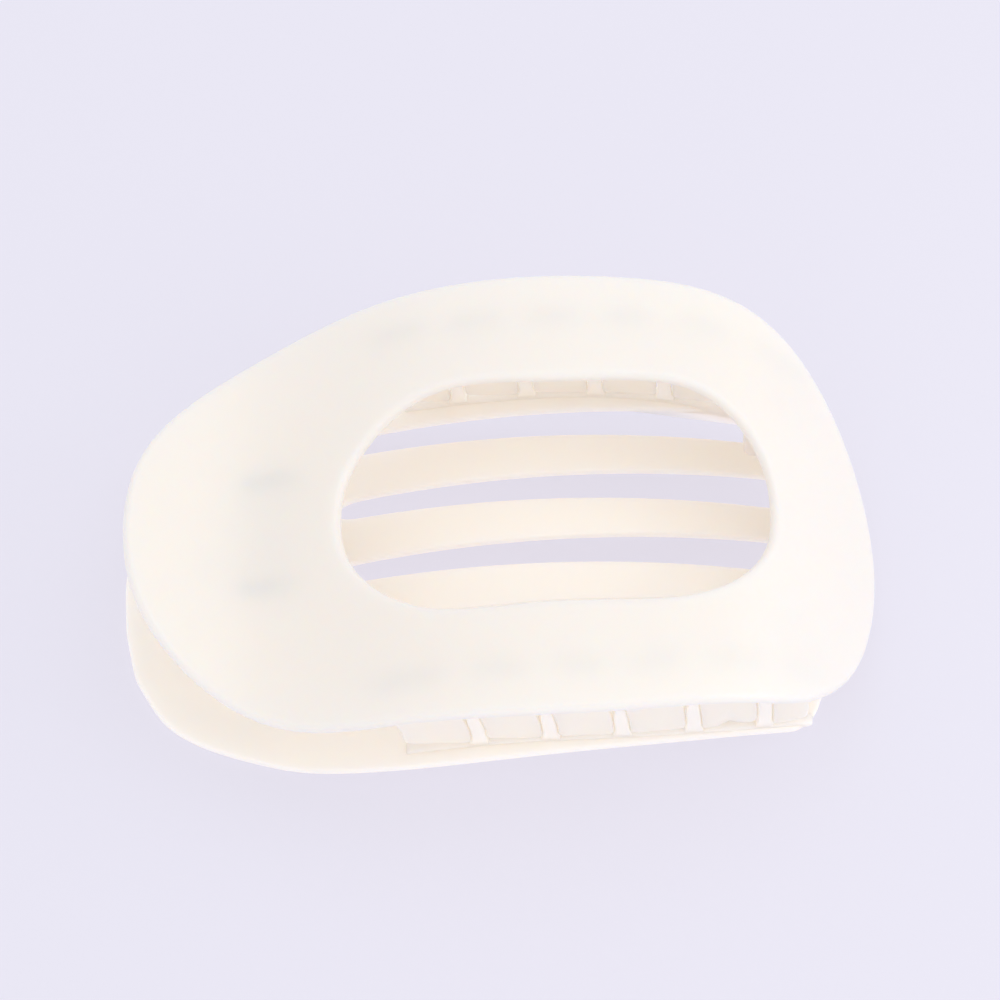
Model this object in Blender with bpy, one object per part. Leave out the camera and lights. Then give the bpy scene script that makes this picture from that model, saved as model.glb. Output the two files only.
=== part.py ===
"""A large flat claw hair clip: two thin arched jaws, hinged on a steel pin near the thumb tails.

The lower jaw is a slatted plate with narrow prongs along its long sides. The upper jaw is a
plate with an oval window, and its broad teeth close between the prongs. A torsion spring on
the pin pushes the two thumb tails apart, which holds the jaws shut.

Frame: +X runs from the thumb tails to the jaw tips, +Y to one long side, +Z up. The origin is
at the middle of the footprint, on the surface that the clip lies on. Sizes are in millimetres
here, and every mesh is made in metres.
"""
import math

import bmesh
import bpy
import numpy as np
from mathutils import Matrix, Vector

MM = 0.001
GAP = 0.3               # clear space between parts that touch
UPPER_WALL, LOWER_WALL = 2.0, 1.5
RIM = 0.45              # chamfer of the plate rims

# Upper jaw: height of its top surface at even steps along X, half of its outline and window.
UPPER_X0, UPPER_STEP = -52.7, 18.0
UPPER_Z = (23.8, 20.1, 28.3, 33.1, 33.6, 28.0, 3.9)
UPPER_HALF = ((-53.3, 0.0), (-49.0, 15.8), (-33.2, 29.7), (-13.0, 34.0), (11.1, 34.5),
              (34.4, 31.8), (45.8, 25.6), (51.8, 15.2), (54.4, 0.0))
WINDOW_HALF = ((-23.4, 0.0), (-20.9, 9.0), (-10.0, 17.1), (7.7, 17.5), (26.1, 16.6),
               (36.6, 9.0), (38.9, 0.0))
WINDOW_X = 7.7          # centre of the window

# Lower jaw: a flat tail, then an arch that comes down again towards its tip.
ARCH_X, ARCH_HALF, ARCH_RISE, ARCH_SOFT = 14.1, 43.0, 9.7, 1.5
LOWER_HALF = ((-55.0, 0.0), (-50.7, 18.5), (-36.7, 26.5), (-18.7, 30.2), (1.3, 30.5),
              (21.3, 28.9), (35.0, 26.8), (43.0, 25.0), (45.0, 21.6), (47.9, 13.5), (50.2, 0.0))
SLOT_PITCH, SLOT_COUNT, SLOT_SHIFT = 10.42, 5, 1.9      # the slots sit a little to the far side
SLOT_START, SLOT_END = -24.2, 42.0
SLOT_WIDTH, SLOT_TAPER = 3.85, 0.03     # width at X = 0, and how much it widens per mm
SLOT_MARGIN = 1.8

# Tooth walls: a row along each long side.
ROW_Y, ROW_THICK = 27.8, 1.6
ROW_STRAIGHT, ROW_END, ROW_PULL = 8.0, 40.0, 3.2
ROW_STAGGER = 2.4       # how much nearer to the tail the far row's prongs stand
PRONG_X, PRONG_PITCH, PRONG_COUNT = -3.6, 10.1, 5
PRONG_WIDTH, PRONG_FOOT, PRONG_TOP = 2.0, 3.0, 21.0
PRONG_FLARE, PRONG_CUT = 2.4, 4.5
CURB_START, CURB_END, CURB_HIGH, CURB_THICK = -14.2, 44.0, 0.7, 2.0
TOOTH_SIDE_GAP, TOOTH_TIP_GAP, TOOTH_CORNER = 0.35, 0.4, 1.6
CORNER_X, CORNER_Y, CORNER_WIDTH, CORNER_TIP = 37.6, 17.5, 5.0, 10.5

# Hinge: the pin's axis lies along Y.
AXIS_X, AXIS_Z = -32.0, 10.0
PIN_R, PIN_HEAD_R, PIN_HEAD_LONG = 1.0, 2.1, 1.3
BORE_R = 1.25
LUG_R, LUG_THICK, LUG_HALF_BASE = 3.6, 2.0, 6.0
UPPER_LUG_Y, LOWER_LUG_Y = 8.6, 11.4
COIL_R, WIRE_R, COIL_TURNS, COIL_HALF = 2.6, 0.55, 6, 4.6
LEG_X = -45.0

IVORY = (0.83, 0.76, 0.67, 1.0)
STEEL = (0.62, 0.62, 0.63, 1.0)


def clear_scene():
    for obj in list(bpy.data.objects):
        bpy.data.objects.remove(obj, do_unlink=True)


def material(name, colour, roughness, metallic):
    mat = bpy.data.materials.new(name)
    mat.use_nodes = True
    shader = mat.node_tree.nodes["Principled BSDF"]
    shader.inputs["Base Color"].default_value = colour
    shader.inputs["Roughness"].default_value = roughness
    shader.inputs["Metallic"].default_value = metallic
    return mat


def bend_rates(values, closed):
    """Second differences of the smooth cubic curve through evenly spaced values."""
    count = len(values)
    matrix = 4.0 * np.eye(count)
    rhs = np.zeros_like(values)
    for i in range(count):
        before, after = (i - 1) % count, (i + 1) % count
        if not closed and i in (0, count - 1):
            continue
        matrix[i, before] += 1.0
        matrix[i, after] += 1.0
        rhs[i] = 6.0 * (values[before] - 2.0 * values[i] + values[after])
    return np.linalg.solve(matrix, rhs)


class Curve:
    """A cubic curve through evenly spaced values, open with free ends or closed."""

    def __init__(self, values, closed=False):
        self.values = np.array(values, dtype=float)
        self.closed = closed
        self.rates = bend_rates(self.values, closed)
        self.spans = len(values) if closed else len(values) - 1

    def at(self, t):
        span = min(max(int(math.floor(t)), 0), self.spans - 1)
        after = (span + 1) % len(self.values)
        u = t - span
        v = 1.0 - u
        return (v * self.values[span] + u * self.values[after]
                + ((v ** 3 - v) * self.rates[span] + (u ** 3 - u) * self.rates[after]) / 6.0)


UPPER_CURVE = Curve(UPPER_Z)


def upper_top(x):
    return float(UPPER_CURVE.at((x - UPPER_X0) / UPPER_STEP))


def lower_top(x):
    """Height of the lower plate's top face: a flat tail that runs softly into an arch."""
    rise = ARCH_RISE * (1.0 - ((x - ARCH_X) / ARCH_HALF) ** 2)
    if rise < ARCH_SOFT:
        rise = max(rise + ARCH_SOFT, 0.0) ** 2 / (4.0 * ARCH_SOFT)
    return LOWER_WALL + rise


def downward(surface, x):
    """Unit vector into the plate, square to the surface at x."""
    step = 0.05
    slope = (surface(x + step) - surface(x - step)) / (2.0 * step)
    return Vector((slope, 0.0, -1.0)).normalized()


def underside(x):
    """Height of the upper plate's lower face at x."""
    return upper_top(x) - UPPER_WALL / abs(downward(upper_top, x).z)


def half_outline(points, spacing):
    """Points of the +Y half of a closed outline, from the tail tip to the jaw tip."""
    mirrored = [(x, -y) for x, y in points[-2:0:-1]]
    loop = Curve(list(points) + mirrored, closed=True)
    last = len(points) - 1
    fine = [loop.at(last * i / 400.0) for i in range(401)]
    length = [0.0]
    for a, b in zip(fine, fine[1:]):
        length.append(length[-1] + float(np.hypot(*(b - a))))
    count = int(round(length[-1] / spacing))
    wanted = [length[-1] * i / count for i in range(count + 1)]
    xs = np.interp(wanted, length, [p[0] for p in fine])
    ys = np.interp(wanted, length, [p[1] for p in fine])
    ys[0] = ys[-1] = 0.0
    return [(float(x), float(y)) for x, y in zip(xs, ys)]


def new_object(name, bm, mat, sharp_deg=40.0):
    bmesh.ops.recalc_face_normals(bm, faces=bm.faces[:])
    bmesh.ops.scale(bm, vec=(MM, MM, MM), verts=bm.verts[:])
    mesh = bpy.data.meshes.new(name)
    bm.to_mesh(mesh)
    bm.free()
    mesh.shade_smooth()
    mesh.set_sharp_from_angle(angle=math.radians(sharp_deg))
    mesh.materials.append(mat)
    obj = bpy.data.objects.new(name, mesh)
    bpy.context.scene.collection.objects.link(obj)
    return obj


def place_on(obj, parent):
    """Parent an object to an empty and keep it where it was modelled."""
    obj.parent = parent
    obj.matrix_parent_inverse = Matrix.Translation(-parent.location)


def thicken(bm, surface, wall):
    """Turn a sheet that lies on a plate's top face into the plate, with softened rims."""
    made = bmesh.ops.extrude_face_region(bm, geom=bm.faces[:])["geom"]
    for vert in made:
        if isinstance(vert, bmesh.types.BMVert):
            vert.co += wall * downward(surface, vert.co.x)
    bmesh.ops.recalc_face_normals(bm, faces=bm.faces[:])
    rims = [e for e in bm.edges if e.calc_face_angle(0.0) > math.radians(50.0)]
    bmesh.ops.bevel(bm, geom=rims, offset=RIM, segments=1, profile=0.5,
                    affect="EDGES", material=-1)


def window_radii():
    """Directions from the window's centre, and the distance to its edge in each."""
    edge = half_outline(WINDOW_HALF, 0.5)[::-1]
    angles = [math.atan2(y, x - WINDOW_X) for x, y in edge]
    return angles, [math.hypot(x - WINDOW_X, y) for x, y in edge]


def upper_shell(mat):
    """The arched plate with its oval window, as rings between the two outlines."""
    half = half_outline(UPPER_HALF, 3.9)
    outline = half + [(x, -y) for x, y in half[-2:0:-1]]
    angles, radii = window_radii()
    rings = 5
    bm = bmesh.new()
    loops = []
    for ring in range(rings + 1):
        loop = []
        for x, y in outline:
            angle = math.atan2(y, x - WINDOW_X)
            r = float(np.interp(abs(angle), angles, radii))
            wx, wy = WINDOW_X + r * math.cos(angle), r * math.sin(angle)
            f = ring / rings
            px, py = wx + (x - wx) * f, wy + (y - wy) * f
            loop.append(bm.verts.new((px, py, upper_top(px))))
        loops.append(loop)
    for inner, outer in zip(loops, loops[1:]):
        for i in range(len(outline)):
            j = (i + 1) % len(outline)
            bm.faces.new((inner[i], outer[i], outer[j], inner[j]))
    thicken(bm, upper_top, UPPER_WALL)
    return new_object("upper_shell", bm, mat)


def slot_width(x):
    return SLOT_WIDTH + SLOT_TAPER * x


def slot_lines(x, half_width):
    """Y of each line across the lower plate at x: rim, slot edges, rim."""
    round_end = 1.9
    inside = min(x - SLOT_START, SLOT_END - x) / round_end
    inside = min(max(inside, 0.0), 1.0)
    width = slot_width(x) * math.sqrt(max(1.0 - (1.0 - inside) ** 2, 0.12))
    middle = (SLOT_COUNT - 1) / 2.0
    lines = [-half_width]
    for i in range(SLOT_COUNT):
        y = SLOT_SHIFT + (i - middle) * SLOT_PITCH
        lines += [y - width / 2.0, y + width / 2.0]
    lines.append(half_width)
    limit = min(half_width - SLOT_MARGIN, row_y(x) - CURB_THICK / 2.0 - 0.1)
    if SLOT_START <= x <= SLOT_END:
        lines[1:-1] = [min(max(y, -limit), limit) for y in lines[1:-1]]
    else:
        outer = max(abs(lines[1]), abs(lines[-2]))
        squeeze = min(max(limit, 0.35 * half_width) / outer, 1.0)
        lines[1:-1] = [y * squeeze for y in lines[1:-1]]
    return lines


def lower_plate(mat):
    """The slatted plate: rows across it, with the slots left out of the mesh."""
    half = half_outline(LOWER_HALF, 3.6)[1:-1]
    ends = [SLOT_START, SLOT_START + 0.6, SLOT_START + 1.9]
    ends += [SLOT_END - 1.9, SLOT_END - 0.6, SLOT_END]
    xs = [x for x, _ in half]
    hs = [h for _, h in half]
    keep = [x for x, h in half if h > 16.0 and all(abs(x - e) > 1.3 for e in ends)]
    rows = []
    bm = bmesh.new()
    for x in sorted(keep + ends):
        h = float(np.interp(x, xs, hs))
        z = lower_top(x)
        rows.append([bm.verts.new((x, y, z)) for y in slot_lines(x, h)])
    for low, high in zip(rows, rows[1:]):
        slotted = low[0].co.x > SLOT_START - 0.01 and high[0].co.x < SLOT_END + 0.01
        for j in range(len(low) - 1):
            if slotted and j % 2 == 1:
                continue
            bm.faces.new((low[j], high[j], high[j + 1], low[j + 1]))
    for row, (tip_x, tip_h) in ((rows[0], LOWER_HALF[0]), (rows[-1], LOWER_HALF[-1])):
        beyond = [(h, x) for x, h in half_outline(LOWER_HALF, 0.5)
                  if abs(x - tip_x) < abs(row[0].co.x - tip_x)]
        beyond = sorted(beyond + [(tip_h, tip_x), (row[-1].co.y, row[-1].co.x)])
        rim = [row[0]]
        for vert in row[1:-1]:
            x = float(np.interp(abs(vert.co.y), *zip(*beyond)))
            rim.append(bm.verts.new((x, vert.co.y, lower_top(x))))
        rim.append(row[-1])
        bm.faces.new((row[0], rim[1], row[1]))
        for j in range(1, len(row) - 2):
            bm.faces.new((row[j], rim[j], rim[j + 1], row[j + 1]))
        bm.faces.new((row[-2], rim[-2], row[-1]))
    thicken(bm, lower_top, LOWER_WALL)
    return new_object("lower_plate", bm, mat)


def row_y(x):
    """Half of the distance between the two tooth rows at x."""
    u = max(x - ROW_STRAIGHT, 0.0) / (ROW_END - ROW_STRAIGHT)
    return ROW_Y - ROW_PULL * u * u


def upright(name, outline, y_of, thick, side, mat, soften=0.3):
    """A flat upright piece: an outline in XZ with a thickness along Y."""
    bm = bmesh.new()
    verts = [bm.verts.new((x, 0.0, z)) for x, z in outline]
    face = bm.faces.new(verts)
    made = bmesh.ops.extrude_face_region(bm, geom=[face])["geom"]
    back = [v for v in made if isinstance(v, bmesh.types.BMVert)]
    for vert in bm.verts:
        offset = thick / 2.0 if vert in back else -thick / 2.0
        vert.co.y = side * (y_of(vert.co.x) + offset)
    bmesh.ops.recalc_face_normals(bm, faces=bm.faces[:])
    if soften:
        edges = [e for e in bm.edges if e.calc_face_angle(0.0) > math.radians(60.0)
                 and abs(e.verts[0].co.y - e.verts[1].co.y) < 0.5 * thick]
        bmesh.ops.bevel(bm, geom=edges, offset=soften, segments=1, profile=0.5,
                        affect="EDGES", material=-1)
    bmesh.ops.triangulate(bm, faces=bm.faces[:])
    return new_object(name, bm, mat)


def curb(side_name, side, mat):
    """The low rail that the prongs stand on."""
    steps = 24
    xs = [CURB_START + (CURB_END - CURB_START) * i / steps for i in range(steps + 1)]
    low = [(x, lower_top(x) + GAP) for x in xs]
    high = [(x, lower_top(x) + GAP + CURB_HIGH) for x in reversed(xs)]
    return upright("lower_curb_" + side_name, low + high, row_y, CURB_THICK, side, mat)


def prong_places(side):
    first = PRONG_X - (ROW_STAGGER if side > 0 else 0.0)
    return [first + PRONG_PITCH * i for i in range(PRONG_COUNT)]


def lean(x, z):
    """X at height z on the arc about the hinge axis that passes through x at the axis height."""
    return AXIS_X + math.sqrt((x - AXIS_X) ** 2 - (z - AXIS_Z) ** 2)


def spread(low, high, count):
    return [low + (high - low) * i / count for i in range(count + 1)]


def prong(name, x, side, mat):
    """A narrow prong of the lower jaw, flared at its foot and cut back at the tail side."""
    half, foot = PRONG_WIDTH / 2.0, PRONG_FOOT / 2.0
    stand = 2.0 * GAP + CURB_HIGH
    outline = [(px, lower_top(px) + stand) for px in (x - foot, x, x + foot)]
    base = max(outline[0][1], outline[-1][1]) + 0.1
    waist = base + PRONG_FLARE
    flare = [(u * math.pi / 2.0, base + PRONG_FLARE * u) for u in (0.25, 0.5, 0.75)]
    for turn, z in flare:
        outline.append((lean(x + foot - (foot - half) * math.sin(turn), z), z))
    outline += [(lean(x + half, z), z) for z in spread(waist, PRONG_TOP - 0.8, 3)]
    outline += [(lean(x + half, PRONG_TOP) - 0.6, PRONG_TOP),
                (lean(x + half, PRONG_TOP) - 1.1, PRONG_TOP)]
    outline += [(lean(x - half, z), z) for z in spread(PRONG_TOP - PRONG_CUT, waist, 2)]
    for turn, z in flare[::-1]:
        outline.append((lean(x - foot + (foot - half) * math.sin(turn), z), z))
    return upright(name, outline, row_y, ROW_THICK, side, mat)


def tooth(name, start, end, side, mat):
    """A broad tooth of the upper jaw. Its sides are arcs about the hinge, so it swings clear."""
    tip = max(lower_top(start), lower_top(end)) + 2.0 * GAP + CURB_HIGH + TOOTH_TIP_GAP
    low = tip + TOOTH_CORNER
    shoulder_a = min(PRONG_TOP, underside(start) - 1.2)
    shoulder_b = min(PRONG_TOP, underside(end) - 1.2)
    root_a, root_b = lean(start, shoulder_a), lean(end, shoulder_b)
    outline = [(root_a, underside(root_a) - GAP - 0.3)]
    outline += [(lean(start, z), z) for z in spread(shoulder_a, low, 5)]
    outline += [(lean(start, tip) + 0.5, tip + 0.6), (lean(start, tip) + TOOTH_CORNER, tip)]
    outline += [(lean(end, tip) - TOOTH_CORNER, tip), (lean(end, tip) - 0.5, tip + 0.6)]
    outline += [(lean(end, z), z) for z in spread(low, shoulder_b, 4)]
    outline += [(root_b, underside(root_b) - GAP - 0.3)]
    top = [root_a + (root_b - root_a) * i / 4.0 for i in (3, 2, 1)]
    outline += [(x, underside(x) - GAP - 0.1) for x in top]
    return upright(name, outline, row_y, ROW_THICK, side, mat)


def teeth_rows(lower_mat, upper_mat, lower_parent, upper_parent):
    """Curbs, prongs and teeth of both long sides."""
    reach = PRONG_WIDTH / 2.0 + TOOTH_SIDE_GAP
    for side_name, side in (("near", -1), ("far", 1)):
        places = prong_places(side)
        bounds = [CURB_START] + places + [CURB_END]
        place_on(curb(side_name, side, lower_mat), lower_parent)
        for i, x in enumerate(places):
            piece = prong("lower_prong_%s_%d" % (side_name, i + 1), x, side, lower_mat)
            place_on(piece, lower_parent)
        for i, (a, b) in enumerate(zip(bounds, bounds[1:])):
            start = a if i == 0 else a + reach
            end = b - (TOOTH_CORNER if i == PRONG_COUNT else reach)
            piece = tooth("upper_tooth_%s_%d" % (side_name, i + 1), start, end, side, upper_mat)
            place_on(piece, upper_parent)
        place_on(corner_tooth("upper_corner_tooth_" + side_name, side, upper_mat), upper_parent)


def corner_tooth(name, side, mat):
    """The short tooth inside each front corner of the upper jaw."""
    half = CORNER_WIDTH / 2.0
    a, b = CORNER_X - half, CORNER_X + half
    outline = [(a, underside(a) - GAP - 0.2), (a + 0.2, CORNER_TIP + 4.0),
               (a + 1.2, CORNER_TIP + 0.8), (a + 2.2, CORNER_TIP),
               (b - 1.6, CORNER_TIP + 0.4), (b - 0.5, CORNER_TIP + 2.4),
               (b, underside(b) - GAP - 0.2)]
    return upright(name, outline, lambda x: CORNER_Y, ROW_THICK, side, mat)


def bore_cutter():
    bm = bmesh.new()
    turn = Matrix.Rotation(math.radians(90.0), 4, "X")
    bmesh.ops.create_cone(bm, cap_ends=True, segments=24, radius1=BORE_R, radius2=BORE_R,
                          depth=60.0, matrix=Matrix.Translation((AXIS_X, 0.0, AXIS_Z)) @ turn)
    bmesh.ops.scale(bm, vec=(MM, MM, MM), verts=bm.verts[:])
    mesh = bpy.data.meshes.new("hinge_bore_cutter")
    bm.to_mesh(mesh)
    bm.free()
    cutter = bpy.data.objects.new("hinge_bore_cutter", mesh)
    cutter.hide_render = True
    cutter.display_type = "WIRE"
    bpy.context.scene.collection.objects.link(cutter)
    return cutter


def lug(name, y, side, surface_z, up, cutter, mat):
    """A hinge lug: a wide root on its plate and a round end about the pin."""
    turns = 14
    arc = []
    for i in range(turns + 1):
        angle = math.pi * i / turns + (0.0 if up else math.pi)
        arc.append((AXIS_X + LUG_R * math.cos(angle), AXIS_Z + LUG_R * math.sin(angle)))
    stations = [AXIS_X + LUG_HALF_BASE * (1.0 - i / 3.0) for i in range(7)]
    root = [(x, surface_z(x)) for x in stations]
    outline = arc + (root[::-1] if up else root)
    obj = upright(name, outline, lambda x: y, LUG_THICK, side, mat, soften=0.0)
    cut = obj.modifiers.new("hinge_bore", "BOOLEAN")
    cut.operation = "DIFFERENCE"
    cut.object = cutter
    return obj


def hinge_lugs(lower_mat, upper_mat, lower_parent, upper_parent):
    cutter = bore_cutter()
    for side_name, side in (("near", -1), ("far", 1)):
        low = lug("lower_hinge_lug_" + side_name, LOWER_LUG_Y, side,
                  lambda x: lower_top(x) + GAP, True, cutter, lower_mat)
        high = lug("upper_hinge_lug_" + side_name, UPPER_LUG_Y, side,
                   lambda x: underside(x) - GAP, False, cutter, upper_mat)
        place_on(low, lower_parent)
        place_on(high, upper_parent)


def hinge_pin(mat):
    """The steel pin, with a low domed head at each end."""
    inner = LOWER_LUG_Y + LUG_THICK / 2.0 + GAP
    outer = inner + PIN_HEAD_LONG
    profile = [(0.0, -outer), (PIN_HEAD_R * 0.6, -outer), (PIN_HEAD_R, -outer + 0.6),
               (PIN_HEAD_R, -inner), (PIN_R, -inner), (PIN_R, inner), (PIN_HEAD_R, inner),
               (PIN_HEAD_R, outer - 0.6), (PIN_HEAD_R * 0.6, outer), (0.0, outer)]
    bm = bmesh.new()
    verts = [bm.verts.new((AXIS_X + r, y, AXIS_Z)) for r, y in profile]
    edges = [bm.edges.new(pair) for pair in zip(verts, verts[1:])]
    bmesh.ops.spin(bm, geom=verts + edges, cent=(AXIS_X, 0.0, AXIS_Z), axis=(0.0, 1.0, 0.0),
                   angle=math.tau, steps=24, use_merge=True)
    bmesh.ops.remove_doubles(bm, verts=bm.verts[:], dist=0.001)
    return new_object("hinge_pin", bm, mat)


def spring_route():
    """Centre line of the wire: a leg to the upper tail, the coil, and a leg to the lower tail."""
    per_turn = 14
    reach = WIRE_R + GAP
    high = Vector((LEG_X, -COIL_HALF - 0.6, underside(LEG_X) - reach - 0.5))
    low = Vector((LEG_X, COIL_HALF + 0.6, lower_top(LEG_X) + reach))
    first = math.radians(58.0)
    last = math.radians(302.0)
    sweep = math.tau * COIL_TURNS - first + last - math.tau
    count = int(per_turn * sweep / math.tau)
    coil = []
    for i in range(count + 1):
        u = i / count
        angle = first + math.pi / 2.0 - sweep * u
        coil.append(Vector((AXIS_X + COIL_R * math.cos(angle), -COIL_HALF + 2.0 * COIL_HALF * u,
                            AXIS_Z + COIL_R * math.sin(angle))))
    up_leg = [high.lerp(coil[0], i / 4.0) for i in range(4)]
    down_leg = [coil[-1].lerp(low, i / 4.0) for i in range(1, 5)]
    return up_leg + coil + down_leg


def torsion_spring(mat):
    """The wire as a bevelled curve with filled ends."""
    route = spring_route()
    data = bpy.data.curves.new("torsion_spring", "CURVE")
    data.dimensions = "3D"
    data.bevel_depth = WIRE_R * MM
    data.bevel_resolution = 2
    data.use_fill_caps = True
    wire = data.splines.new("POLY")
    wire.points.add(len(route) - 1)
    for point, place in zip(wire.points, route):
        point.co = (place.x * MM, place.y * MM, place.z * MM, 1.0)
    data.materials.append(mat)
    obj = bpy.data.objects.new("torsion_spring", data)
    bpy.context.scene.collection.objects.link(obj)
    return obj


def empty(name, place):
    obj = bpy.data.objects.new(name, None)
    obj.location = Vector(place) * MM
    bpy.context.scene.collection.objects.link(obj)
    return obj


def main():
    clear_scene()
    lower_ivory = material("lower_ivory", IVORY, 0.32, 0.0)
    upper_ivory = material("upper_ivory", IVORY, 0.28, 0.0)
    pin_steel = material("pin_steel", STEEL, 0.25, 1.0)
    spring_steel = material("spring_steel", STEEL, 0.35, 1.0)
    lower_jaw = empty("lower_jaw", (0.0, 0.0, 0.0))
    upper_jaw = empty("upper_jaw", (AXIS_X, 0.0, AXIS_Z))
    place_on(lower_plate(lower_ivory), lower_jaw)
    place_on(upper_shell(upper_ivory), upper_jaw)
    teeth_rows(lower_ivory, upper_ivory, lower_jaw, upper_jaw)
    hinge_lugs(lower_ivory, upper_ivory, lower_jaw, upper_jaw)
    place_on(hinge_pin(pin_steel), lower_jaw)
    place_on(torsion_spring(spring_steel), lower_jaw)


main()
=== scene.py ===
"""The looks of a large ivory claw hair clip: two moulded jaws, a plated pin and a wire spring.

Sizes are in millimetres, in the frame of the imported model, and every mesh is made in metres.
"""
import math

import bmesh
import bpy
import numpy as np
from mathutils import Matrix, Vector


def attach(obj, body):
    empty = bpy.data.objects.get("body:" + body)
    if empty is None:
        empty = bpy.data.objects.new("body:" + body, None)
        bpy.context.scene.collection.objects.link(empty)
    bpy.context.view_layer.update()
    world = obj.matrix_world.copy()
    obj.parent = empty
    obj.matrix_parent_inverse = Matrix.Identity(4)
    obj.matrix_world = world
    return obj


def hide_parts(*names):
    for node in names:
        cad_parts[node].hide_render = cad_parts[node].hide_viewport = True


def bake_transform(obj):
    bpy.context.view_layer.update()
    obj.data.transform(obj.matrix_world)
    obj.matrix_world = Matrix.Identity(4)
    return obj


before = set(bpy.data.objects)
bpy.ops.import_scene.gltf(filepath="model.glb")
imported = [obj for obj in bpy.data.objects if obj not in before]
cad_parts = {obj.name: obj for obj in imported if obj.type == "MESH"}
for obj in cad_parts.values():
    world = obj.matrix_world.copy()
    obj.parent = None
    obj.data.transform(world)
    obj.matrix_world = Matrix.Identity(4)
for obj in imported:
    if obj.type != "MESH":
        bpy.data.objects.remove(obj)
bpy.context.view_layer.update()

MM = 0.001

# Plates.
UPPER_WALL, LOWER_WALL = 2.0, 1.5
UPPER_X0, UPPER_STEP = -52.7, 18.0
UPPER_Z = (23.8, 20.1, 28.3, 33.1, 33.6, 28.0, 3.9)
UPPER_HALF = ((-53.3, 0.0), (-49.0, 15.8), (-33.2, 29.7), (-13.0, 34.0), (11.1, 34.5),
              (34.4, 31.8), (45.8, 25.6), (51.8, 15.2), (54.4, 0.0))
WINDOW_HALF = ((-23.4, 0.0), (-20.9, 9.0), (-10.0, 17.1), (7.7, 17.5), (26.1, 16.6),
               (36.6, 9.0), (38.9, 0.0))
WINDOW_X = 7.7
ARCH_X, ARCH_HALF, ARCH_RISE, ARCH_SOFT = 14.1, 43.0, 9.7, 1.5
LOWER_HALF = ((-55.0, 0.0), (-50.7, 18.5), (-36.7, 26.5), (-18.7, 30.2), (1.3, 30.5),
              (21.3, 28.9), (35.0, 26.8), (43.0, 25.0), (45.0, 21.6), (47.9, 13.5), (50.2, 0.0))
SLOT_PITCH, SLOT_COUNT, SLOT_SHIFT = 10.42, 5, 1.9
SLOT_START, SLOT_END = -24.2, 42.0
SLOT_WIDTH, SLOT_TAPER = 3.85, 0.03
SLOT_MARGIN = 1.8
SLOT_ROUND = 1.9        # length of a slot's rounded end
SLOT_CURB_ROOM = 0.1    # from a slot's edge to the curb beside it
TAIL_CORNER, NOSE_CORNER = 0.145, 0.895     # where the lower plate's corners are on its outline
UPPER_RIM, LOWER_RIM = 0.85, 0.4            # how far the plates' rims are rounded

# Tooth walls.
ROW_Y, ROW_THICK = 27.8, 1.6
ROW_STRAIGHT, ROW_END, ROW_PULL = 8.0, 40.0, 3.2
ROW_STAGGER = 2.4
PRONG_X, PRONG_PITCH, PRONG_COUNT = -3.6, 10.1, 5
PRONG_WIDTH, PRONG_FOOT, PRONG_TOP = 2.0, 3.0, 21.0
PRONG_FLARE, PRONG_CUT = 2.4, 4.5
CURB_START, CURB_END, CURB_HIGH, CURB_THICK = -14.2, 44.0, 0.5, 2.0
TOOTH_SIDE_GAP, TOOTH_TIP_GAP, TOOTH_CORNER = 0.15, 0.35, 0.9
CORNER_X, CORNER_Y, CORNER_WIDTH, CORNER_TIP = 37.6, 17.5, 5.0, 10.5
SHOULDER_DROP = 1.2     # from the upper plate down to where a tooth's sides turn to arcs
SUNK = 0.8              # how far a tooth or lug is sunk into its plate

# Hinge.
AXIS_X, AXIS_Z = -32.0, 10.0
PIN_R, PIN_HEAD_R, PIN_HEAD_LONG = 1.0, 2.1, 1.3
BORE_R = 1.25
LUG_R, LUG_THICK, LUG_HALF_BASE = 3.6, 2.0, 6.0
UPPER_LUG_Y, LOWER_LUG_Y = 8.6, 11.4
COIL_R, WIRE_R, COIL_TURNS, COIL_HALF = 2.6, 0.55, 6, 4.6
LEG_X = -45.0

# Camera.
CAMERA_ANGLES = (62.0, -0.75, -0.15)    # elevation, yaw and roll, in degrees
CAMERA_AIM = (-0.21, 5.14, 20.0)
CAMERA_DISTANCE = 650.0
CAMERA_ZOOM = 4.55                      # lens length over sensor width

SIDES = (("near", -1), ("far", 1))


# ---------------------------------------------------------------- curves

def bend_rates(values, closed):
    """Second differences of the smooth cubic curve through evenly spaced values."""
    count = len(values)
    matrix = 4.0 * np.eye(count)
    rhs = np.zeros_like(values)
    for i in range(count):
        before, after = (i - 1) % count, (i + 1) % count
        if not closed and i in (0, count - 1):
            continue
        matrix[i, before] += 1.0
        matrix[i, after] += 1.0
        rhs[i] = 6.0 * (values[before] - 2.0 * values[i] + values[after])
    return np.linalg.solve(matrix, rhs)


class Curve:
    """A cubic curve through evenly spaced values, open with free ends or closed."""

    def __init__(self, values, closed=False):
        self.values = np.array(values, dtype=float)
        self.rates = bend_rates(self.values, closed)
        self.spans = len(values) if closed else len(values) - 1

    def at(self, t):
        span = min(max(int(math.floor(t)), 0), self.spans - 1)
        after = (span + 1) % len(self.values)
        u = t - span
        v = 1.0 - u
        return (v * self.values[span] + u * self.values[after]
                + ((v ** 3 - v) * self.rates[span] + (u ** 3 - u) * self.rates[after]) / 6.0)


UPPER_CURVE = Curve(UPPER_Z)


def upper_top(x):
    """Height of the upper plate's top face."""
    return float(UPPER_CURVE.at((x - UPPER_X0) / UPPER_STEP))


def lower_top(x):
    """Height of the lower plate's top face: a flat tail that runs softly into an arch."""
    rise = ARCH_RISE * (1.0 - ((x - ARCH_X) / ARCH_HALF) ** 2)
    if rise < ARCH_SOFT:
        rise = max(rise + ARCH_SOFT, 0.0) ** 2 / (4.0 * ARCH_SOFT)
    return LOWER_WALL + rise


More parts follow.
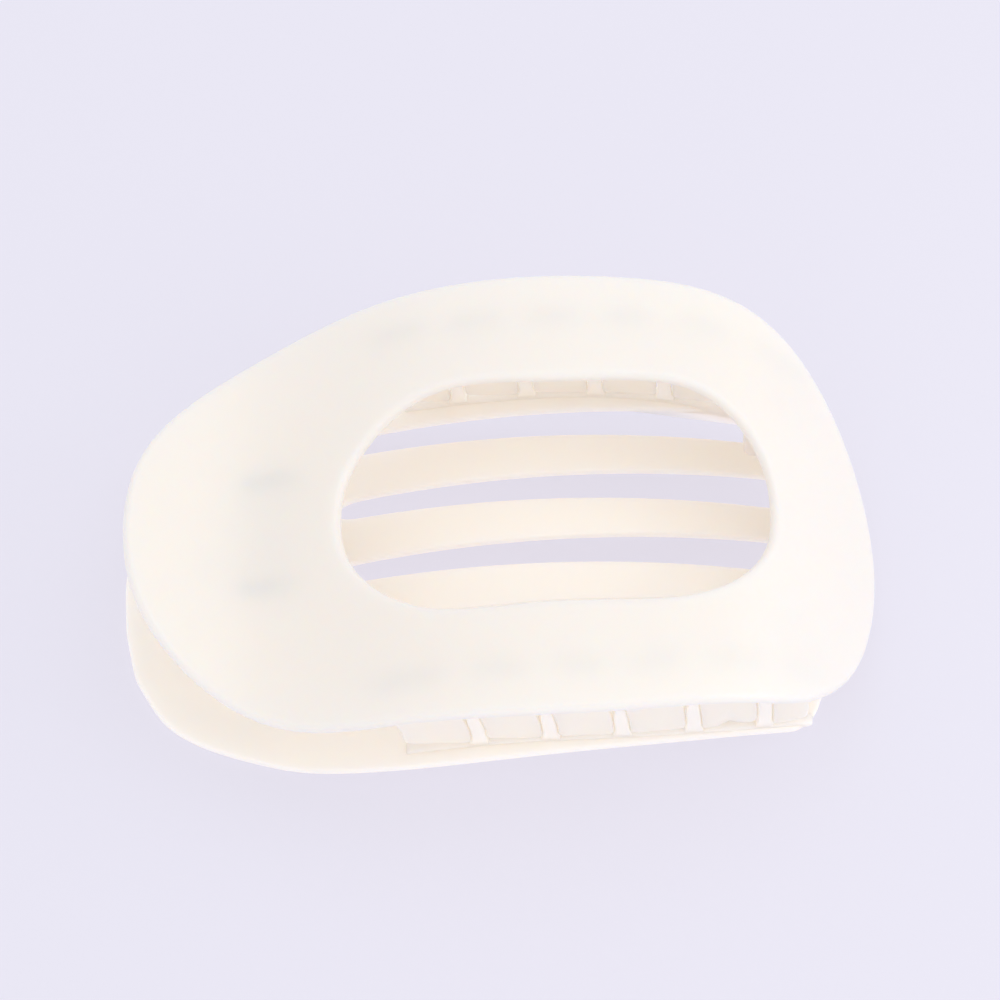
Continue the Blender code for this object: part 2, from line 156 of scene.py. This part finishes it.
def inward(surface, x):
    """Unit vector into a plate, square to its top face at x."""
    step = 0.05
    slope = (surface(x + step) - surface(x - step)) / (2.0 * step)
    return Vector((slope, 0.0, -1.0)).normalized()


def underside(x):
    """Height of the upper plate's lower face."""
    return upper_top(x) - UPPER_WALL / abs(inward(upper_top, x).z)


class HalfOutline:
    """The +Y half of an outline, measured along its edge from the tail end (0) to the far end (1)."""

    def __init__(self, points):
        mirrored = [(x, -y) for x, y in points[-2:0:-1]]
        loop = Curve(list(points) + mirrored, closed=True)
        last = len(points) - 1
        fine = np.array([loop.at(last * i / 800.0) for i in range(801)])
        steps = np.hypot(*np.diff(fine, axis=0).T)
        self.length = np.concatenate(([0.0], np.cumsum(steps)))
        self.length /= self.length[-1]
        self.points = fine
        self.points[0, 1] = self.points[-1, 1] = 0.0

    def at(self, share):
        x = float(np.interp(share, self.length, self.points[:, 0]))
        y = float(np.interp(share, self.length, self.points[:, 1]))
        return Vector((x, y, 0.0))

    def share_at_x(self, x):
        return float(np.interp(x, self.points[:, 0], self.length))

    def half_width(self, x):
        return float(np.interp(x, self.points[:, 0], self.points[:, 1]))


UPPER_OUTLINE = HalfOutline(UPPER_HALF)
WINDOW_OUTLINE = HalfOutline(WINDOW_HALF)
LOWER_OUTLINE = HalfOutline(LOWER_HALF)


def row_y(x):
    """Half of the distance between the two tooth rows at x."""
    u = max(x - ROW_STRAIGHT, 0.0) / (ROW_END - ROW_STRAIGHT)
    return ROW_Y - ROW_PULL * u * u


# ---------------------------------------------------------------- materials

def shader_nodes(name):
    mat = bpy.data.materials.new(name)
    mat.use_nodes = True
    nodes = mat.node_tree.nodes
    return mat, nodes, mat.node_tree.links, nodes["Principled BSDF"]


def scaled_noise(nodes, links, scale, detail, roughness=0.5):
    coords = nodes.new("ShaderNodeTexCoord")
    noise = nodes.new("ShaderNodeTexNoise")
    noise.inputs["Scale"].default_value = scale
    noise.inputs["Detail"].default_value = detail
    noise.inputs["Roughness"].default_value = roughness
    links.new(coords.outputs["Object"], noise.inputs["Vector"])
    return noise


def ivory_plastic(name, light, shade, gloss_low, gloss_high, painted_glow):
    """Moulded ivory plastic: milky depth, faint cloudiness, a fine skin and soft gloss.

    The painted glow is an emission that stands in for light scattered through thin walls.
    """
    mat, nodes, links, shader = shader_nodes(name)
    cloud = scaled_noise(nodes, links, 22.0, 1.0)
    tint = nodes.new("ShaderNodeValToRGB")
    tint.color_ramp.elements[0].position = 0.3
    tint.color_ramp.elements[0].color = shade
    tint.color_ramp.elements[1].position = 0.7
    tint.color_ramp.elements[1].color = light
    links.new(cloud.outputs["Fac"], tint.inputs["Fac"])
    links.new(tint.outputs["Color"], shader.inputs["Base Color"])
    haze = scaled_noise(nodes, links, 60.0, 2.0)
    gloss = nodes.new("ShaderNodeMapRange")
    gloss.inputs["To Min"].default_value = gloss_low
    gloss.inputs["To Max"].default_value = gloss_high
    links.new(haze.outputs["Fac"], gloss.inputs["Value"])
    links.new(gloss.outputs["Result"], shader.inputs["Roughness"])
    skin = scaled_noise(nodes, links, 320.0, 1.0)
    bump = nodes.new("ShaderNodeBump")
    bump.inputs["Strength"].default_value = 0.08
    bump.inputs["Distance"].default_value = 0.00005
    links.new(skin.outputs["Fac"], bump.inputs["Height"])
    links.new(bump.outputs["Normal"], shader.inputs["Normal"])
    shader.inputs["IOR"].default_value = 1.49
    shader.inputs["Subsurface Weight"].default_value = 0.9
    shader.inputs["Subsurface Radius"].default_value = (1.0, 0.8, 0.62)
    shader.inputs["Subsurface Scale"].default_value = 0.004
    # Painted light: this emission lifts the plastic's shade, standing in for light scattered through
    # its walls.
    shader.inputs["Emission Color"].default_value = light
    shader.inputs["Emission Strength"].default_value = painted_glow
    return mat


def steel(name, colour, roughness, streaks):
    """Drawn or plated steel with fine drawing lines."""
    mat, nodes, links, shader = shader_nodes(name)
    shader.inputs["Base Color"].default_value = colour
    shader.inputs["Metallic"].default_value = 1.0
    grain = scaled_noise(nodes, links, streaks, 4.0)
    gloss = nodes.new("ShaderNodeMapRange")
    gloss.inputs["To Min"].default_value = roughness * 0.7
    gloss.inputs["To Max"].default_value = roughness * 1.4
    links.new(grain.outputs["Fac"], gloss.inputs["Value"])
    links.new(gloss.outputs["Result"], shader.inputs["Roughness"])
    bump = nodes.new("ShaderNodeBump")
    bump.inputs["Strength"].default_value = 0.15
    bump.inputs["Distance"].default_value = 0.00003
    links.new(grain.outputs["Fac"], bump.inputs["Height"])
    links.new(bump.outputs["Normal"], shader.inputs["Normal"])
    return mat


# ---------------------------------------------------------------- pieces

def finish_piece(name, bm, mat, body, nodes, smooth=1):
    """Make a mesh object of a finished bmesh, and fix it to its body."""
    bmesh.ops.scale(bm, vec=(MM, MM, MM), verts=bm.verts[:])
    mesh = bpy.data.meshes.new(name)
    bm.to_mesh(mesh)
    bm.free()
    mesh.shade_smooth()
    mesh.materials.append(mat)
    obj = bpy.data.objects.new(name, mesh)
    bpy.context.scene.collection.objects.link(obj)
    if smooth:
        finer = obj.modifiers.new("finer", "SUBSURF")
        finer.levels = smooth
        finer.render_levels = smooth
    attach(obj, body)
    if nodes:
        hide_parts(*nodes)
    return obj


def thicken(bm, surface, wall, rim_radius, segments):
    """Give a sheet on a plate's top face its wall, and round its rims."""
    made = bmesh.ops.extrude_face_region(bm, geom=bm.faces[:])["geom"]
    for vert in made:
        if isinstance(vert, bmesh.types.BMVert):
            vert.co += wall * inward(surface, vert.co.x)
    bmesh.ops.recalc_face_normals(bm, faces=bm.faces[:])
    rims = [e for e in bm.edges if e.calc_face_angle(0.0) > math.radians(50.0)]
    bmesh.ops.bevel(bm, geom=rims, offset=rim_radius, segments=segments, profile=0.5,
                    affect="EDGES", material=-1)


def window_point(angle):
    """The window's edge in a direction from its centre."""
    edge = WINDOW_OUTLINE.points[::-1] - (WINDOW_X, 0.0)
    angles = np.arctan2(edge[:, 1], edge[:, 0])
    r = float(np.interp(abs(angle), angles, np.hypot(edge[:, 0], edge[:, 1])))
    return Vector((WINDOW_X + r * math.cos(angle), r * math.sin(angle), 0.0))


def upper_plate(mat):
    """The arched plate with the oval window: a ring grown from the window's edge to the rim."""
    around, rings = 160, 12
    bm = bmesh.new()
    bmesh.ops.create_circle(bm, segments=around, radius=1.0)
    inner = sorted(bm.verts, key=lambda v: math.atan2(v.co.y, v.co.x))
    outer_points = []
    for i in range(around):
        share = 2.0 * i / around
        p = UPPER_OUTLINE.at(min(share, 2.0 - share))
        outer_points.append(Vector((p.x, -p.y if share < 1.0 else p.y, 0.0)))
    made = bmesh.ops.extrude_edge_only(bm, edges=bm.edges[:])["geom"]
    outer = [v for v in made if isinstance(v, bmesh.types.BMVert)]
    spokes = []
    for vert, target in zip(inner, outer_points):
        spoke = next(e for e in vert.link_edges if e.other_vert(vert) in outer)
        spokes.append(spoke)
        spoke.other_vert(vert).co = target
        vert.co = window_point(math.atan2(target.y, target.x - WINDOW_X))
    bmesh.ops.subdivide_edges(bm, edges=spokes, cuts=rings - 1, use_grid_fill=True)
    for vert in bm.verts:
        vert.co.z = upper_top(vert.co.x)
    bmesh.ops.recalc_face_normals(bm, faces=bm.faces[:])
    thicken(bm, upper_top, UPPER_WALL, UPPER_RIM, 3)
    return finish_piece("upper_jaw_plate", bm, mat, "upper_jaw", ["upper_shell"])


def slot_half_width(x):
    """Half of a slot's width at x, narrowing at its rounded ends."""
    inside = min(x - SLOT_START, SLOT_END - x) / SLOT_ROUND
    inside = min(max(inside, 0.0), 1.0)
    return 0.5 * (SLOT_WIDTH + SLOT_TAPER * x) * math.sqrt(max(1.0 - (1.0 - inside) ** 2, 0.12))


def slot_lines(x, half_width):
    """Y of each line across the slatted part at x: rim, slot edges, rim."""
    half = slot_half_width(x)
    edges = []
    for i in range(SLOT_COUNT):
        y = SLOT_SHIFT + (i - (SLOT_COUNT - 1) / 2.0) * SLOT_PITCH
        edges += [y - half, y + half]
    limit = min(half_width - SLOT_MARGIN, row_y(x) - CURB_THICK / 2.0 - SLOT_CURB_ROOM)
    return [-half_width] + [min(max(y, -limit), limit) for y in edges] + [half_width]


def patch(end_row, row, near_side, far_side, steps):
    """Rows of points from a curved end row to a straight row, kept to the two side edges."""
    rows = []
    last = len(row) - 1
    for k in range(steps):
        t = k / steps
        line = []
        for j in range(last + 1):
            v = j / last
            flat = end_row[j].lerp(row[j], t)
            fix_near = near_side(t) - end_row[0].lerp(row[0], t)
            fix_far = far_side(t) - end_row[last].lerp(row[last], t)
            line.append(flat + fix_near * (1.0 - v) + fix_far * v)
        rows.append(line)
    return rows


def end_rows(corner, x, tip_share, steps):
    """Rows that fill one rounded end of the lower plate, out to its tip."""
    lines = slot_lines(x, LOWER_OUTLINE.half_width(x))
    row = [Vector((x, y, 0.0)) for y in lines]
    last = len(lines) - 1
    shares = [y / lines[-1] for y in lines]
    end_row = []
    for s in shares:
        p = LOWER_OUTLINE.at(tip_share + (corner - tip_share) * abs(s))
        end_row.append(Vector((p.x, math.copysign(p.y, s), 0.0)))
    meet = LOWER_OUTLINE.share_at_x(x)

    def side(sign):
        def along(t):
            p = LOWER_OUTLINE.at(corner + (meet - corner) * t)
            return Vector((p.x, sign * p.y, 0.0))
        return along

    return patch(end_row, row, side(-1), side(1), steps)


def lower_plate(mat):
    """The slatted plate, on a grid whose lines run along the slot edges."""
    tail_x, nose_x = SLOT_START, SLOT_END
    tail = end_rows(TAIL_CORNER, tail_x, 0.0, 9)
    nose = end_rows(NOSE_CORNER, nose_x, 1.0, 4)
    middle = []
    xs = [tail_x, tail_x + 0.55, tail_x + SLOT_ROUND]
    count = 22
    xs += [tail_x + SLOT_ROUND + (nose_x - tail_x - 2.0 * SLOT_ROUND) * i / count
           for i in range(1, count)]
    xs += [nose_x - SLOT_ROUND, nose_x - 0.55, nose_x]
    for x in xs:
        lines = slot_lines(x, LOWER_OUTLINE.half_width(x))
        middle.append([Vector((x, y, 0.0)) for y in lines])
    rows = tail + middle + nose[::-1]
    first_slot, last_slot = len(tail), len(tail) + len(middle) - 1
    columns = len(rows[0])
    bm = bmesh.new()
    bmesh.ops.create_grid(bm, x_segments=len(rows) - 1, y_segments=columns - 1, size=0.5)
    place = {}
    for vert in bm.verts:
        i = int(round((vert.co.x + 0.5) * (len(rows) - 1)))
        j = int(round((vert.co.y + 0.5) * (columns - 1)))
        place[vert.index] = (i, j)
    open_faces = []
    for face in bm.faces:
        i = min(place[v.index][0] for v in face.verts)
        j = min(place[v.index][1] for v in face.verts)
        if first_slot <= i < last_slot and j % 2 == 1:
            open_faces.append(face)
    for vert in bm.verts:
        i, j = place[vert.index]
        p = rows[i][j]
        vert.co = Vector((p.x, p.y, lower_top(p.x)))
    bmesh.ops.delete(bm, geom=open_faces, context="FACES")
    bmesh.ops.recalc_face_normals(bm, faces=bm.faces[:])
    thicken(bm, lower_top, LOWER_WALL, LOWER_RIM, 2)
    return finish_piece("lower_jaw_plate", bm, mat, "lower_jaw", ["lower_plate"],
                        smooth=2)


def upright_sheet(bm, outline):
    """One flat face in the XZ plane."""
    return bm.faces.new([bm.verts.new((x, 0.0, z)) for x, z in outline])


def upright_body(bm, y_of, thick, side, soften=0.35, segments=2):
    """Give a flat upright face its thickness along Y, and round its edges."""
    made = bmesh.ops.extrude_face_region(bm, geom=bm.faces[:])["geom"]
    back = {v for v in made if isinstance(v, bmesh.types.BMVert)}
    for vert in bm.verts:
        offset = thick / 2.0 if vert in back else -thick / 2.0
        vert.co.y = side * (y_of(vert.co.x) + offset)
    bmesh.ops.recalc_face_normals(bm, faces=bm.faces[:])
    edges = [e for e in bm.edges if e.calc_face_angle(0.0) > math.radians(60.0)
             and abs(e.verts[0].co.y - e.verts[1].co.y) < 0.5 * thick]
    bmesh.ops.bevel(bm, geom=edges, offset=soften, segments=segments, profile=0.5,
                    affect="EDGES", material=-1)


def curb(side_name, side, mat):
    """The low rail that the prongs stand on."""
    steps = 40
    xs = [CURB_START + (CURB_END - CURB_START) * i / steps for i in range(steps + 1)]
    low = [(x, lower_top(x) - SUNK) for x in xs]
    high = [(x, lower_top(x) + CURB_HIGH) for x in reversed(xs)]
    bm = bmesh.new()
    upright_sheet(bm, low + high)
    upright_body(bm, row_y, CURB_THICK, side, soften=0.5)
    return finish_piece("lower_curb_%s_rail" % side_name, bm, mat, "lower_jaw",
                        ["lower_curb_" + side_name])


def lean(x, z):
    """X at height z on the arc about the hinge axis that passes through x at the axis height."""
    return AXIS_X + math.sqrt((x - AXIS_X) ** 2 - (z - AXIS_Z) ** 2)


def spread(low, high, count):
    return [low + (high - low) * i / count for i in range(count + 1)]


def prong(side_name, number, x, side, mat):
    """A narrow prong, flared at its foot, leaning with the arc and cut back at the tail side."""
    half, foot = PRONG_WIDTH / 2.0, PRONG_FOOT / 2.0
    base = lower_top(x) + CURB_HIGH - 0.2
    waist = base + PRONG_FLARE
    flare = [(u * math.pi / 2.0, base + PRONG_FLARE * u) for u in spread(0.0, 0.84, 5)]
    outline = [(x - foot, base - SUNK), (x + foot, base - SUNK)]
    for turn, z in flare:
        outline.append((lean(x + foot - (foot - half) * math.sin(turn), z), z))
    outline += [(lean(x + half, z), z) for z in spread(waist, PRONG_TOP - 1.0, 5)]
    top_x = lean(x + half, PRONG_TOP)
    outline += [(top_x - 0.4, PRONG_TOP - 0.2), (top_x - 1.0, PRONG_TOP)]
    outline += [(lean(x - half, z), z) for z in spread(PRONG_TOP - PRONG_CUT, waist, 4)]
    for turn, z in flare[::-1]:
        outline.append((lean(x - foot + (foot - half) * math.sin(turn), z), z))
    bm = bmesh.new()
    upright_sheet(bm, outline)
    upright_body(bm, row_y, ROW_THICK, side, soften=0.3)
    return finish_piece("lower_prong_%s_%d_body" % (side_name, number), bm, mat, "lower_jaw",
                        ["lower_prong_%s_%d" % (side_name, number)])


def corner_arc(cx, cz, radius, start, end, steps=5):
    """Points of a rounded corner, from one angle to another in degrees."""
    points = []
    for i in range(steps + 1):
        angle = math.radians(start + (end - start) * i / steps)
        points.append((cx + radius * math.cos(angle), cz + radius * math.sin(angle)))
    return points


def tooth(side_name, number, start, end, side, mat):
    """A broad tooth of the upper jaw. Its sides are arcs about the hinge, so it swings clear."""
    tip = max(lower_top(start), lower_top(end)) + CURB_HIGH + TOOTH_TIP_GAP
    low = tip + TOOTH_CORNER
    shoulder_a = min(PRONG_TOP, underside(start) - SHOULDER_DROP)
    shoulder_b = min(PRONG_TOP, underside(end) - SHOULDER_DROP)
    root = spread(lean(end, shoulder_b), lean(start, shoulder_a), 4)
    outline = [(x, underside(x) + SUNK) for x in root]
    outline += [(lean(start, z), z) for z in spread(shoulder_a, low, 5)[:-1]]
    outline += corner_arc(lean(start, low) + TOOTH_CORNER, low, TOOTH_CORNER, 180.0, 270.0)
    outline += corner_arc(lean(end, low) - TOOTH_CORNER, low, TOOTH_CORNER, 270.0, 360.0)
    outline += [(lean(end, z), z) for z in spread(low, shoulder_b, 5)[1:]]
    bm = bmesh.new()
    upright_sheet(bm, outline)
    upright_body(bm, row_y, ROW_THICK, side, soften=0.3)
    return finish_piece("upper_tooth_%s_%d_body" % (side_name, number), bm, mat, "upper_jaw",
                        ["upper_tooth_%s_%d" % (side_name, number)])


def corner_tooth(side_name, side, mat):
    """The short tooth inside a front corner of the upper jaw."""
    half = CORNER_WIDTH / 2.0
    a, b = CORNER_X - half, CORNER_X + half
    outline = [(b, underside(b) + SUNK),
               (a, underside(a) + SUNK), (a + 0.1, CORNER_TIP + 4.5)]
    outline += corner_arc(a + 2.1, CORNER_TIP + 1.8, 1.8, 180.0, 270.0)
    outline += corner_arc(b - 2.3, CORNER_TIP + 1.8, 1.8, 270.0, 360.0)
    bm = bmesh.new()
    upright_sheet(bm, outline)
    upright_body(bm, lambda x: CORNER_Y, ROW_THICK, side, soften=0.35)
    return finish_piece("upper_corner_tooth_%s_body" % side_name, bm, mat, "upper_jaw",
                        ["upper_corner_tooth_" + side_name])


def tooth_walls(lower_mat, upper_mat):
    """Both rows: curbs and prongs below, and the teeth between them above."""
    reach = PRONG_WIDTH / 2.0 + TOOTH_SIDE_GAP
    for side_name, side in SIDES:
        first = PRONG_X - (ROW_STAGGER if side > 0 else 0.0)
        places = [first + PRONG_PITCH * i for i in range(PRONG_COUNT)]
        bounds = [CURB_START] + places + [CURB_END]
        curb(side_name, side, lower_mat)
        corner_tooth(side_name, side, upper_mat)
        for i, x in enumerate(places):
            prong(side_name, i + 1, x, side, lower_mat)
        for i, (a, b) in enumerate(zip(bounds, bounds[1:])):
            start = a if i == 0 else a + reach
            end = b - (TOOTH_CORNER if i == PRONG_COUNT else reach)
            tooth(side_name, i + 1, start, end, side, upper_mat)


def lug(name, node, y, side, root_z, up, body, mat):
    """A hinge lug: a ring about the bore, drawn out to its root on the plate."""
    around = 48
    bm = bmesh.new()
    turn = Matrix.Rotation(math.radians(90.0), 4, "X")
    bmesh.ops.create_circle(bm, segments=around, radius=BORE_R, matrix=turn)
    inner = bm.verts[:]
    made = bmesh.ops.extrude_edge_only(bm, edges=bm.edges[:])["geom"]
    outer = {v for v in made if isinstance(v, bmesh.types.BMVert)}
    sign = 1.0 if up else -1.0
    height = abs(AXIS_Z - root_z(AXIS_X)) + SUNK
    edge_angle = math.atan2(LUG_HALF_BASE, height)
    tangent = math.acos(LUG_R / math.hypot(LUG_HALF_BASE, height))
    for vert in inner:
        away = next(e.other_vert(vert) for e in vert.link_edges if e.other_vert(vert) in outer)
        direction = Vector((vert.co.x, 0.0, vert.co.z)).normalized()
        down = math.atan2(abs(direction.x), -sign * direction.z)
        if down < edge_angle:
            reach = height / math.cos(down)
        elif down < edge_angle + tangent:
            reach = LUG_R / math.cos(edge_angle + tangent - down)
        else:
            reach = LUG_R
        away.co = direction * reach
    for vert in bm.verts:
        vert.co += Vector((AXIS_X, 0.0, AXIS_Z))
    upright_body(bm, lambda x: y, LUG_THICK, side, soften=0.3)
    return finish_piece(name, bm, mat, body, [node])


def hinge_lugs(lower_mat, upper_mat):
    for side_name, side in SIDES:
        lug("lower_lug_%s_ear" % side_name, "lower_hinge_lug_" + side_name, LOWER_LUG_Y, side,
            lower_top, True, "lower_jaw", lower_mat)
        lug("upper_lug_%s_ear" % side_name, "upper_hinge_lug_" + side_name, UPPER_LUG_Y, side,
            underside, False, "upper_jaw", upper_mat)


def hinge_pin(mat):
    """The plated pin: a turned shaft with a low domed head at each end."""
    inner = LOWER_LUG_Y + LUG_THICK / 2.0 + 0.05
    outer = inner + PIN_HEAD_LONG
    head = [(PIN_HEAD_R * math.cos(a), inner + 0.45 + (outer - inner - 0.45) * math.sin(a))
            for a in (math.pi / 2.0 * i / 6.0 for i in range(7))]
    profile = [(0.0, -outer)] + [(r, -y) for r, y in head[::-1][1:]]
    profile += [(PIN_HEAD_R, -inner), (PIN_R, -inner), (PIN_R, inner), (PIN_HEAD_R, inner)]
    profile += head[:-1] + [(0.0, outer)]
    bm = bmesh.new()
    verts = [bm.verts.new((AXIS_X + r, y, AXIS_Z)) for r, y in profile]
    edges = [bm.edges.new(pair) for pair in zip(verts, verts[1:])]
    bmesh.ops.spin(bm, geom=verts + edges, cent=(AXIS_X, 0.0, AXIS_Z), axis=(0.0, 1.0, 0.0),
                   angle=math.tau, steps=48, use_merge=True)
    bmesh.ops.remove_doubles(bm, verts=bm.verts[:], dist=0.001)
    bmesh.ops.recalc_face_normals(bm, faces=bm.faces[:])
    obj = finish_piece("hinge_pin_shaft", bm, mat, "lower_jaw", ["hinge_pin"],
                       smooth=0)
    obj.data.set_sharp_from_angle(angle=math.radians(40.0))
    return obj


def spring_route():
    """Centre line of the wire: a leg to the upper tail, the coil, and a leg to the lower tail."""
    per_turn = 28
    reach = WIRE_R + 0.05
    high = Vector((LEG_X, -COIL_HALF - 0.6, underside(LEG_X) - reach - 0.8))
    low = Vector((LEG_X, COIL_HALF + 0.6, lower_top(LEG_X) + reach + 0.25))
    first, last = math.radians(58.0), math.radians(302.0)
    sweep = math.tau * COIL_TURNS - first + last - math.tau
    count = int(per_turn * sweep / math.tau)
    coil = []
    for i in range(count + 1):
        u = i / count
        angle = first + math.pi / 2.0 - sweep * u
        coil.append(Vector((AXIS_X + COIL_R * math.cos(angle), -COIL_HALF + 2.0 * COIL_HALF * u,
                            AXIS_Z + COIL_R * math.sin(angle))))
    up_leg = [high.lerp(coil[0], i / 6.0) for i in range(6)]
    down_leg = [coil[-1].lerp(low, i / 6.0) for i in range(1, 7)]
    return up_leg + coil + down_leg


def torsion_spring(mat):
    """The wire, swept along its route."""
    data = bpy.data.curves.new("torsion_spring_wire", "CURVE")
    data.dimensions = "3D"
    data.bevel_depth = WIRE_R * MM
    data.bevel_resolution = 4
    data.use_fill_caps = True
    wire = data.splines.new("POLY")
    route = spring_route()
    wire.points.add(len(route) - 1)
    for point, place in zip(wire.points, route):
        point.co = (*(place * MM), 1.0)
    guide = bpy.data.objects.new("torsion_spring_guide", data)
    bpy.context.scene.collection.objects.link(guide)
    mesh = bpy.data.meshes.new_from_object(guide.evaluated_get(bpy.context.evaluated_depsgraph_get()))
    bpy.data.objects.remove(guide)
    mesh.shade_smooth()
    mesh.set_sharp_from_angle(angle=math.radians(50.0))
    mesh.materials.clear()
    mesh.materials.append(mat)
    obj = bpy.data.objects.new("torsion_spring_wire", mesh)
    bpy.context.scene.collection.objects.link(obj)
    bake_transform(obj)
    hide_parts("torsion_spring")
    return obj


# ---------------------------------------------------------------- set

def floor():
    """The pale table. It is partly a light box, so the shadows on it stay faint."""
    bm = bmesh.new()
    bmesh.ops.create_grid(bm, x_segments=1, y_segments=1, size=1.5)
    mesh = bpy.data.meshes.new("table_top")
    bm.to_mesh(mesh)
    bm.free()
    mat, nodes, links, shader = shader_nodes("pale_table")
    shader.inputs["Base Color"].default_value = (0.32, 0.315, 0.35, 1.0)
    shader.inputs["Roughness"].default_value = 0.8
    shader.inputs["Specular IOR Level"].default_value = 0.2
    shader.inputs["Emission Color"].default_value = (0.84, 0.823, 0.93, 1.0)
    shader.inputs["Emission Strength"].default_value = 0.6
    mesh.materials.append(mat)
    obj = bpy.data.objects.new("table_top", mesh)
    bpy.context.scene.collection.objects.link(obj)


def area_light(name, place, target, size, power, colour):
    """A round soft light, in metres and watts, turned to its target."""
    data = bpy.data.lights.new(name, "AREA")
    data.shape = "DISK"
    data.size = size
    data.energy = power
    data.color = colour
    obj = bpy.data.objects.new(name, data)
    obj.location = Vector(place)
    obj.rotation_euler = (Vector(target) - Vector(place)).to_track_quat("-Z", "Y").to_euler()
    bpy.context.scene.collection.objects.link(obj)


def studio():
    """An even, bright room with three weak soft lights."""
    world = bpy.data.worlds.new("soft_room")
    world.use_nodes = True
    sky = world.node_tree.nodes["Background"]
    sky.inputs["Color"].default_value = (0.97, 0.965, 1.0, 1.0)
    sky.inputs["Strength"].default_value = 0.88
    bpy.context.scene.world = world
    area_light("soft_right", (0.34, -0.05, 0.2), (0.03, 0.0, 0.02), 0.25, 0.22, (1.0, 0.99, 0.97))
    area_light("soft_top", (0.1, 0.1, 0.6), (0.0, 0.0, 0.01), 0.5, 0.3, (1.0, 0.99, 0.98))
    area_light("soft_front", (-0.05, -0.45, 0.16), (0.0, 0.0, 0.01), 0.3, 0.12, (1.0, 0.985, 0.97))
    settings = bpy.context.scene.view_settings
    settings.view_transform = "Standard"
    settings.look = "None"


def camera():
    """The camera, looking down at the clip from its near side."""
    elevation, yaw, roll = (math.radians(angle) for angle in CAMERA_ANGLES)
    aim = Vector(CAMERA_AIM) * MM
    distance = CAMERA_DISTANCE * MM
    back = Vector((math.sin(yaw) * math.cos(elevation), -math.cos(yaw) * math.cos(elevation),
                   math.sin(elevation)))
    right = (-back).cross(Vector((0.0, 0.0, 1.0))).normalized()
    up = right.cross(-back)
    turned_right = right * math.cos(roll) + up * math.sin(roll)
    turned_up = -right * math.sin(roll) + up * math.cos(roll)
    data = bpy.data.cameras.new("camera")
    data.sensor_width = 36.0
    data.lens = CAMERA_ZOOM * data.sensor_width
    data.clip_start = 0.01
    obj = bpy.data.objects.new("camera", data)
    obj.matrix_world = Matrix((
        (turned_right.x, turned_up.x, back.x, aim.x + back.x * distance),
        (turned_right.y, turned_up.y, back.y, aim.y + back.y * distance),
        (turned_right.z, turned_up.z, back.z, aim.z + back.z * distance),
        (0.0, 0.0, 0.0, 1.0)))
    bpy.context.scene.collection.objects.link(obj)
    bpy.context.scene.camera = obj


def main():
    camera()
    studio()
    floor()
    # Three copies of one ivory plastic. The lower plate's and the teeth's copies carry more painted
    # glow than the upper plate's, standing in for light reaching them in the upper plate's shade;
    # their base tones differ slightly too.
    upper_ivory = ivory_plastic("upper_ivory_plastic", (0.93, 0.87, 0.81, 1.0),
                                (0.92, 0.855, 0.79, 1.0), 0.29, 0.37, 0.01)
    lower_ivory = ivory_plastic("lower_ivory_painted_glow", (0.94, 0.87, 0.79, 1.0),
                                (0.93, 0.85, 0.765, 1.0), 0.3, 0.42, 0.14)
    teeth_ivory = ivory_plastic("teeth_ivory_painted_glow", (0.92, 0.845, 0.755, 1.0),
                                (0.91, 0.83, 0.74, 1.0), 0.3, 0.42, 0.07)
    upper_plate(upper_ivory)
    lower_plate(lower_ivory)
    tooth_walls(lower_ivory, teeth_ivory)
    hinge_lugs(lower_ivory, upper_ivory)
    hinge_pin(steel("plated_pin", (0.78, 0.78, 0.79, 1.0), 0.16, 900.0))
    torsion_spring(steel("spring_wire", (0.62, 0.62, 0.63, 1.0), 0.3, 1400.0))


main()
